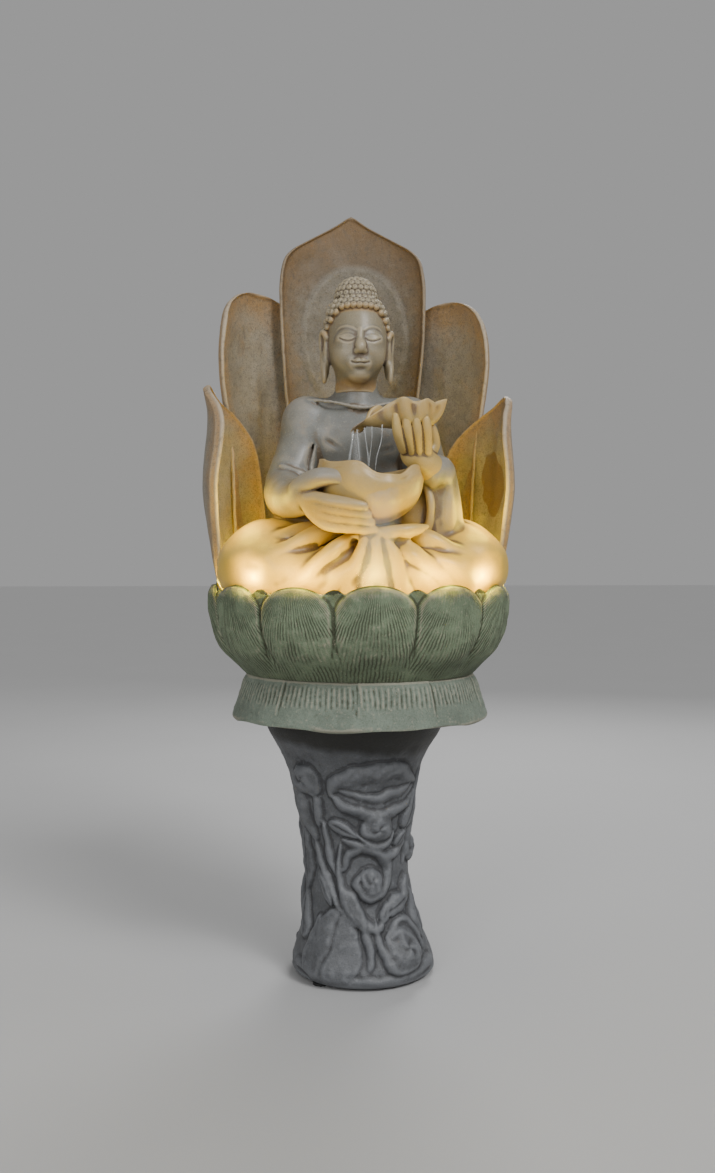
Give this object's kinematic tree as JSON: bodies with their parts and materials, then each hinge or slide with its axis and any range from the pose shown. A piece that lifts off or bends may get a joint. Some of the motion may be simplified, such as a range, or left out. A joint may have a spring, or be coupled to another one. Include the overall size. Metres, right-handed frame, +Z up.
{
  "type": "pedestal water fountain",
  "caption": "Floor-standing cascade fountain: lotus basin on a relief pedestal, with a petal back shell, a seated figure, a leaf cup, a lap bowl, lamps and a submersible pump.",
  "frame": {"origin": "centre of the footprint on the floor, on the pedestal's axis", "axes": "+Z up, the figure faces -Y, +X to the viewer's right"},
  "size_m": [0.4712, 0.454, 1.205],
  "materials": {
    "dark_stone": "cast stone-effect resin, matte, purple grey",
    "green_stone": "cast stone-effect resin, granular, green grey",
    "sand_stone": "cast sandstone-effect resin, ochre at the edges",
    "figure_stone": "cast resin with a satin varnish",
    "black_rubber": "soft",
    "grey_plastic": "moulded",
    "black_plastic": "moulded",
    "white_plastic": "moulded",
    "clear_hose": "soft PVC hose",
    "steel": "stainless",
    "white_ceramic": "polished",
    "magnet": "sintered ferrite",
    "sponge": "open-cell filter foam",
    "led_board": "white board with warm LEDs",
    "lens_glass": "clear, warm tint"
  },
  "bodies": {
    "pedestal": {"pedestal_shell": "dark_stone", "foot_pads": "black_rubber"},
    "fountain": {"basin_skirt": "green_stone", "cable_gland": "black_rubber", "basin_bowl": "green_stone", "petal_centre": "sand_stone", "petal_upper_left": "sand_stone", "petal_upper_right": "sand_stone", "petal_side_left": "sand_stone", "petal_side_right": "sand_stone", "riser_tube": "clear_hose", "hose_clips": "steel", "cup_nozzle": "grey_plastic", "figure_body": "figure_stone", "raised_arm": "figure_stone", "figure_head": "figure_stone", "lap_bowl": "figure_stone", "leaf_cup": "figure_stone", "pump_body": "black_plastic", "suction_cups": "black_rubber", "outlet_tail": "black_plastic", "volute_cap": "black_plastic", "shaft_bushes": "black_rubber", "impeller_shaft": "white_ceramic", "lamp_bracket_left": "steel", "lamp_bracket_right": "steel"},
    "hatch": {"rear_hatch": "sand_stone", "hatch_knob": "grey_plastic"},
    "intake": {"pump_cover": "black_plastic", "intake_sponge": "sponge"},
    "dial": {"flow_dial": "grey_plastic"},
    "rotor": {"impeller_wheel": "white_plastic", "rotor_magnet": "magnet"},
    "lamp_left": {"lamp_housing_left": "black_plastic", "lamp_board_left": "led_board", "lamp_lens_left": "lens_glass", "lamp_bezel_left": "steel"},
    "lamp_right": {"lamp_housing_right": "black_plastic", "lamp_board_right": "led_board", "lamp_lens_right": "lens_glass", "lamp_bezel_right": "steel"}
  },
  "joints": [
    {"name": "fountain_lift", "type": "slide", "parent": "pedestal", "child": "fountain", "axis": [0, 0, 1], "range_m": [0, 0.12]},
    {"name": "hatch_pull", "type": "slide", "parent": "fountain", "child": "hatch", "axis": [0, 1, 0], "range_m": [0, 0.06]},
    {"name": "intake_pull", "type": "slide", "parent": "fountain", "child": "intake", "axis": [-1, 0, 0], "range_m": [0, 0.02]},
    {"name": "flow_dial_turn", "type": "hinge", "parent": "intake", "child": "dial", "pos_m": [-0.042, 0.125, 0.498], "axis": [-1, 0, 0], "range_deg": [0, 90]},
    {"name": "rotor_spin", "type": "hinge", "parent": "fountain", "child": "rotor", "pos_m": [-0.015, 0.125, 0.498], "axis": [-1, 0, 0], "continuous": true},
    {"name": "lamp_tilt_left", "type": "hinge", "parent": "fountain", "child": "lamp_left", "pos_m": [-0.146, -0.02, 0.504], "axis": [0, 1, 0], "range_deg": [-25, 25]},
    {"name": "lamp_tilt_right", "type": "hinge", "parent": "fountain", "child": "lamp_right", "pos_m": [0.146, -0.02, 0.504], "axis": [0, 1, 0], "range_deg": [-25, 25]}
  ]
}
